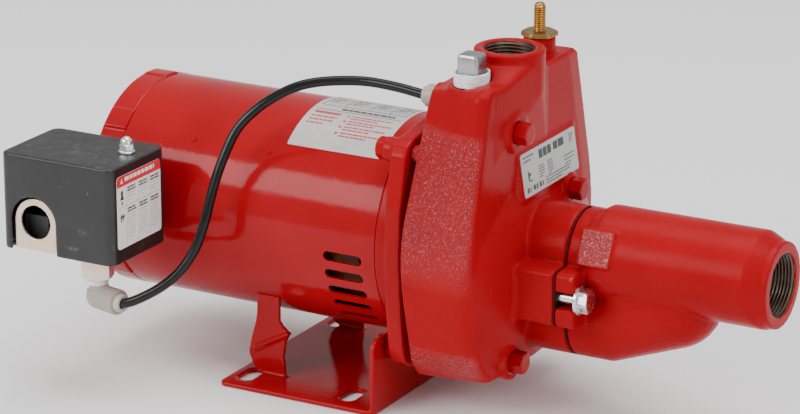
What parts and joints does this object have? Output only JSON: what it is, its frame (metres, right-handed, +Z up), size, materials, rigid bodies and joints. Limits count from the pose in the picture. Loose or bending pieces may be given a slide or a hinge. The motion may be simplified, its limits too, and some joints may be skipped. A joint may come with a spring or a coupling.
{
  "type": "centrifugal jet pump with electric motor",
  "caption": "Red shallow-well jet pump: horizontal motor on a slotted foot, cast pump casing with top discharge, bolt-on ejector with end suction port, and a pressure switch beside the motor.",
  "frame": {"origin": "on the floor, at the centre of the four foot slots, directly under the shaft axis", "axes": "+X along the shaft from the motor to the suction port, +Z up, +Y away from the pressure switch"},
  "size_m": [0.481, 0.2315, 0.2519],
  "materials": {
    "red_paint": "gloss",
    "zinc_plate": "satin",
    "lamination_steel": "satin",
    "copper_winding": "varnished enamelled wire",
    "cast_aluminium": "as cast",
    "bearing_steel": "ground",
    "black_plastic": "matt",
    "cover_plastic": "matt",
    "label_foil": "satin",
    "black_rubber": "matt",
    "ceramic_white": "polished ceramic",
    "carbon_seal": "satin carbon",
    "pump_plastic": "satin",
    "brass": "satin",
    "ptfe_tape": "matt",
    "fitting_grey": "satin",
    "tube_black": "semi-gloss"
  },
  "bodies": {
    "housing": {"base_stand": "red_paint", "motor_shell": "red_paint", "drive_end_bell": "red_paint", "rear_end_bell": "red_paint", "rear_cover": "red_paint", "cover_screws": "zinc_plate", "stator_core": "lamination_steel", "stator_windings": "copper_winding", "thermal_protector": "black_plastic", "start_capacitor": "black_plastic", "terminal_board": "black_plastic", "start_switch_board": "black_plastic", "through_bolts": "zinc_plate", "motor_label": "label_foil", "bearing_outer_rings": "bearing_steel", "seal_plate": "red_paint", "casing_oring": "black_rubber", "seal_seat": "ceramic_white", "diffuser": "pump_plastic", "casing": "red_paint", "flange_bolts": "red_paint", "pipe_plugs": "red_paint", "priming_plug": "zinc_plate", "thread_tape": "ptfe_tape", "regulator_body": "brass", "pump_nameplate": "label_foil", "ejector_body": "red_paint", "ejector_gasket": "black_rubber", "ejector_bolts": "zinc_plate", "venturi": "pump_plastic", "nozzle": "brass", "straight_fitting": "fitting_grey", "pressure_tube": "tube_black", "elbow_fitting": "fitting_grey", "switch_base": "zinc_plate", "switch_cover": "cover_plastic", "cover_nut": "zinc_plate", "switch_label": "label_foil", "pressure_connector": "zinc_plate", "range_spring": "bearing_steel", "range_nut": "zinc_plate", "contact_block": "black_plastic", "conduit_nipple": "zinc_plate", "nipple_locknuts": "zinc_plate"},
    "rotor": {"motor_shaft": "bearing_steel", "rotor_core": "lamination_steel", "rotor_cage": "cast_aluminium", "governor_hub": "bearing_steel", "bearing_inner_rings": "bearing_steel", "slinger": "black_rubber", "seal_head": "carbon_seal", "seal_spring": "bearing_steel", "impeller": "brass"},
    "ball_sets": {"bearing_balls": "bearing_steel"},
    "collar": {"governor_collar": "black_plastic"},
    "leaf": {"switch_leaf": "brass"},
    "regulator_lifter": {"regulator_valve": "brass"},
    "regulator_screw": {"regulator_stem": "brass"},
    "diaphragm": {"diaphragm": "black_rubber"},
    "lever": {"switch_lever": "zinc_plate"}
  },
  "joints": [
    {"name": "rotor_spin", "type": "hinge", "parent": "housing", "child": "rotor", "pos_m": [0, 0, 0.106], "axis": [1, 0, 0], "continuous": true},
    {"name": "ball_orbit", "type": "hinge", "parent": "housing", "child": "ball_sets", "pos_m": [0, 0, 0.106], "axis": [1, 0, 0], "continuous": true},
    {"name": "governor_slide", "type": "slide", "parent": "rotor", "child": "collar", "axis": [1, 0, 0], "range_m": [0, 0.0024], "stiffness_N_per_m": 400},
    {"name": "start_leaf_tilt", "type": "hinge", "parent": "housing", "child": "leaf", "pos_m": [-0.099, -0.021, 0.12], "axis": [0, -1, 0], "range_deg": [0, 8.5]},
    {"name": "regulator_lift", "type": "slide", "parent": "housing", "child": "regulator_lifter", "axis": [0, 0, 1], "range_m": [-0.00564, 0.00141]},
    {"name": "regulator_turn", "type": "hinge", "parent": "regulator_lifter", "child": "regulator_screw", "pos_m": [0.121, 0.038, 0.2], "axis": [0, 0, 1], "range_deg": [-1440, 360]},
    {"name": "diaphragm_lift", "type": "slide", "parent": "housing", "child": "diaphragm", "axis": [0, 0, 1], "range_m": [0, 0.0014], "stiffness_N_per_m": 1500, "deforming": ["range_spring"]},
    {"name": "lever_tilt", "type": "hinge", "parent": "housing", "child": "lever", "pos_m": [-0.14, -0.118, 0.1088], "axis": [0, -1, 0], "range_deg": [0, 4.5]}
  ],
  "couplings": [
    {"joint": "ball_orbit", "follows": "rotor_spin", "ratio": 0.384},
    {"joint": "start_leaf_tilt", "follows": "governor_slide", "rad_per_m": 55},
    {"joint": "regulator_turn", "follows": "regulator_lift", "rad_per_m": 4452.9},
    {"joint": "lever_tilt", "follows": "diaphragm_lift", "rad_per_m": 50}
  ]
}
